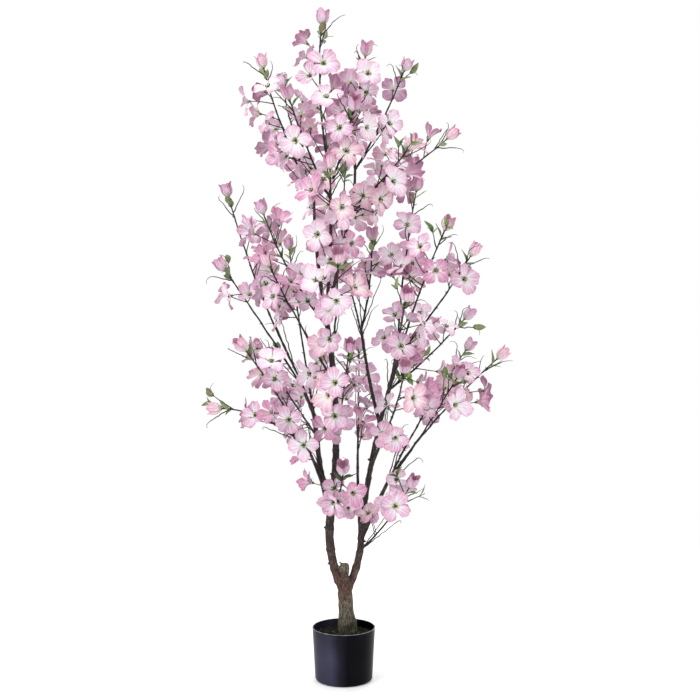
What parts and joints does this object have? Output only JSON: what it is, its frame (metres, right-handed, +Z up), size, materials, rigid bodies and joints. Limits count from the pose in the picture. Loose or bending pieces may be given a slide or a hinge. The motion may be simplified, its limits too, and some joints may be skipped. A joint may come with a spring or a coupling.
{
  "type": "artificial flowering dogwood tree",
  "caption": "Artificial pink flowering dogwood tree: a forked trunk in a round pot carries slender boughs and open sprays of broad four-petalled blossom, buds and leaves.",
  "frame": {"origin": "middle of the pot's flat underside", "axes": "+Z up to the crown's top; -Y is the front of the tree; +X is to the right as seen from the front"},
  "size_m": [0.8305, 0.7132, 1.828],
  "materials": {
    "pot": "satin",
    "filling": "rough, mossy",
    "bark": "rough bark",
    "spray": "matt cloth"
  },
  "bodies": {
    "root": {"pot": "pot", "pot_fill": "filling", "trunk": "bark", "left_stem": "bark", "right_stem": "bark", "left_leader": "bark", "left_bough": "bark", "left_arm": "bark", "left_arm_up": "bark", "upper_left": "bark", "upper_front": "bark", "upper_back": "bark", "top_back": "bark", "right_leader": "bark", "centre_bough": "bark", "right_arm": "bark", "right_spur": "bark", "back_bough": "bark", "spray_low_left": "spray", "spray_low_left_front": "spray", "spray_low_left_back": "spray", "spray_low_front": "spray", "spray_low_mid": "spray", "spray_low_centre": "spray", "spray_low_right_front": "spray", "spray_low_right": "spray", "spray_low_right_mid": "spray", "spray_low_right_back": "spray", "spray_low_spur": "spray", "spray_low_foot": "spray", "spray_mid_left": "spray", "spray_mid_left_top": "spray", "spray_mid_back_left": "spray", "spray_mid_front": "spray", "spray_mid_centre": "spray", "spray_mid_back": "spray", "spray_mid_right_low": "spray", "spray_mid_right": "spray", "spray_mid_right_top": "spray", "spray_mid_right_in": "spray", "spray_mid_front_right": "spray", "spray_top_left": "spray", "spray_top_left_back": "spray", "spray_top_front_left": "spray", "spray_top": "spray", "spray_top_mid": "spray", "spray_top_back_left": "spray", "spray_top_front": "spray", "spray_top_right": "spray", "spray_top_right_low": "spray", "spray_top_right_front": "spray", "spray_top_right_back": "spray", "spray_upper_side": "spray", "spray_mid_left_front": "spray", "spray_upper_middle": "spray", "spray_upper_rear": "spray"}
  },
  "joints": []
}
